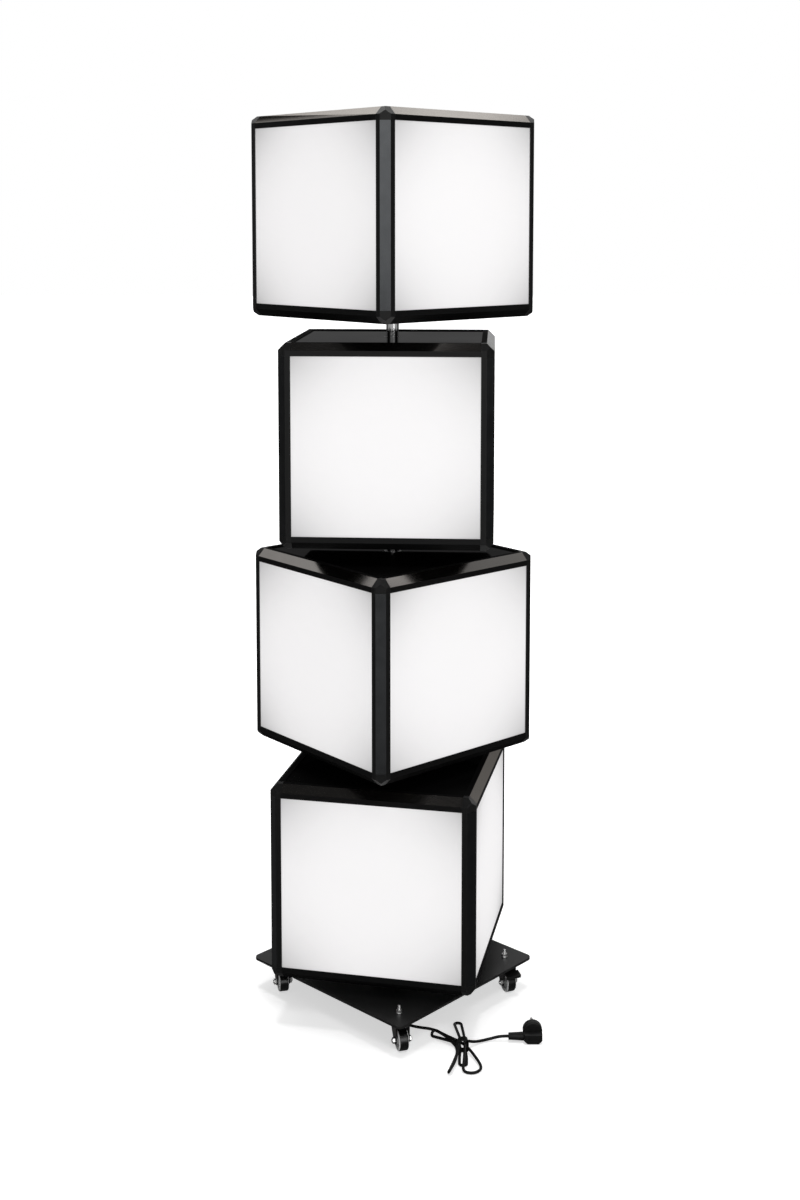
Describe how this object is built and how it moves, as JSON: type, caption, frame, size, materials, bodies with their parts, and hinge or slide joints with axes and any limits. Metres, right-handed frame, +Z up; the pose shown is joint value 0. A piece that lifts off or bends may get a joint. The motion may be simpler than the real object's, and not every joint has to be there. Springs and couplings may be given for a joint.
{
  "type": "rotating display tower",
  "caption": "Free-standing column of lit opal cubes with black frames, each turning by hand on a chromed pole over a castored square base plate, with a tied mains cord and plug.",
  "frame": {"origin": "on the floor under the pole's axis, at the centre of the castored base", "axes": "+Z up along the pole, -Y towards the front, where one corner of the base plate points; metres"},
  "size_m": [0.5642, 0.6127, 1.7576],
  "materials": {
    "cube_frame": "black anodised, satin gloss",
    "cube_corner": "moulded black",
    "opal_panel": "opal white acrylic, lit from behind",
    "black_sheet": "polished black acrylic",
    "bush": "turned black acetal",
    "chrome": "polished chrome",
    "collar": "turned steel",
    "light_core": "white coated",
    "led_strip": "lit",
    "base_plate": "black powder coat",
    "zinc_hardware": "bright zinc plate",
    "castor_fork": "moulded black",
    "castor_rim": "moulded grey",
    "castor_tyre": "smooth black",
    "brake_pedal": "moulded black",
    "cord_jacket": "matt black jacket",
    "cord_tie": "black band",
    "cord_moulding": "moulded black"
  },
  "bodies": {
    "base": {"base_plate": "base_plate", "pole": "chrome", "pole_cap": "chrome", "pole_foot": "base_plate", "support_collars": "collar", "light_cores": "light_core", "led_strips": "led_strip", "base_hardware": "zinc_hardware", "cable_entry": "cord_moulding", "power_cord_lead": "cord_jacket", "power_cord_hank": "cord_jacket", "power_cord_tail": "cord_jacket", "cord_tie": "cord_tie", "power_plug": "cord_moulding"},
    "cube_1": {"cube_1_posts": "cube_frame", "cube_1_rails": "cube_frame", "cube_1_corner_caps": "cube_corner", "cube_1_panels": "opal_panel", "cube_1_lid": "black_sheet", "cube_1_floor": "black_sheet", "cube_1_bushes": "bush"},
    "cube_2": {"cube_2_posts": "cube_frame", "cube_2_rails": "cube_frame", "cube_2_corner_caps": "cube_corner", "cube_2_panels": "opal_panel", "cube_2_lid": "black_sheet", "cube_2_floor": "black_sheet", "cube_2_bushes": "bush"},
    "cube_3": {"cube_3_posts": "cube_frame", "cube_3_rails": "cube_frame", "cube_3_corner_caps": "cube_corner", "cube_3_panels": "opal_panel", "cube_3_lid": "black_sheet", "cube_3_floor": "black_sheet", "cube_3_bushes": "bush"},
    "cube_4": {"cube_4_posts": "cube_frame", "cube_4_rails": "cube_frame", "cube_4_corner_caps": "cube_corner", "cube_4_panels": "opal_panel", "cube_4_lid": "black_sheet", "cube_4_floor": "black_sheet", "cube_4_bushes": "bush"},
    "castor_front": {"castor_front_fork": "castor_fork", "castor_front_axle": "zinc_hardware"},
    "castor_front_wheel": {"castor_front_rim": "castor_rim", "castor_front_tyre": "castor_tyre"},
    "castor_right": {"castor_right_fork": "castor_fork", "castor_right_axle": "zinc_hardware"},
    "castor_right_wheel": {"castor_right_rim": "castor_rim", "castor_right_tyre": "castor_tyre"},
    "castor_right_brake": {"castor_right_brake_pedal": "brake_pedal"},
    "castor_back": {"castor_back_fork": "castor_fork", "castor_back_axle": "zinc_hardware"},
    "castor_back_wheel": {"castor_back_rim": "castor_rim", "castor_back_tyre": "castor_tyre"},
    "castor_back_brake": {"castor_back_brake_pedal": "brake_pedal"},
    "castor_left": {"castor_left_fork": "castor_fork", "castor_left_axle": "zinc_hardware"},
    "castor_left_wheel": {"castor_left_rim": "castor_rim", "castor_left_tyre": "castor_tyre"}
  },
  "joints": [
    {"name": "cube_1_turn", "type": "hinge", "parent": "base", "child": "cube_1", "pos_m": [0, 0, 0.094], "axis": [0, 0, 1], "continuous": true},
    {"name": "cube_2_turn", "type": "hinge", "parent": "base", "child": "cube_2", "pos_m": [0, 0, 0.519], "axis": [0, 0, 1], "continuous": true},
    {"name": "cube_3_turn", "type": "hinge", "parent": "base", "child": "cube_3", "pos_m": [0, 0, 0.944], "axis": [0, 0, 1], "continuous": true},
    {"name": "cube_4_turn", "type": "hinge", "parent": "base", "child": "cube_4", "pos_m": [0, 0, 1.369], "axis": [0, 0, 1], "continuous": true},
    {"name": "castor_front_swivel", "type": "hinge", "parent": "base", "child": "castor_front", "pos_m": [0.01301, -0.22672, 0.05], "axis": [0, 0, 1], "continuous": true},
    {"name": "castor_front_roll", "type": "hinge", "parent": "castor_front", "child": "castor_front_wheel", "pos_m": [0.0177, -0.24306, 0.02], "axis": [0.9613, 0.2756, 0], "continuous": true},
    {"name": "castor_right_swivel", "type": "hinge", "parent": "base", "child": "castor_right", "pos_m": [0.22709, -0.00113, 0.05], "axis": [0, 0, 1], "continuous": true},
    {"name": "castor_right_roll", "type": "hinge", "parent": "castor_right", "child": "castor_right_wheel", "pos_m": [0.23346, -0.01689, 0.02], "axis": [0.9272, 0.3746, 0], "continuous": true},
    {"name": "castor_right_brake", "type": "hinge", "parent": "castor_right", "child": "castor_right_brake", "pos_m": [0.23496, -0.0206, 0.048], "axis": [0.9272, 0.3746, 0], "range_deg": [0, 12]},
    {"name": "castor_back_swivel", "type": "hinge", "parent": "base", "child": "castor_back", "pos_m": [-0.01301, 0.22672, 0.05], "axis": [0, 0, 1], "continuous": true},
    {"name": "castor_back_roll", "type": "hinge", "parent": "castor_back", "child": "castor_back_wheel", "pos_m": [-0.0072, 0.21074, 0.02], "axis": [0.9397, 0.342, 0], "continuous": true},
    {"name": "castor_back_brake", "type": "hinge", "parent": "castor_back", "child": "castor_back_brake", "pos_m": [-0.00583, 0.20698, 0.048], "axis": [0.9397, 0.342, 0], "range_deg": [0, 12]},
    {"name": "castor_left_swivel", "type": "hinge", "parent": "base", "child": "castor_left", "pos_m": [-0.22709, 0.00113, 0.05], "axis": [0, 0, 1], "continuous": true},
    {"name": "castor_left_roll", "type": "hinge", "parent": "castor_left", "child": "castor_left_wheel", "pos_m": [-0.22298, -0.01537, 0.02], "axis": [0.9703, 0.2419, 0], "continuous": true}
  ]
}
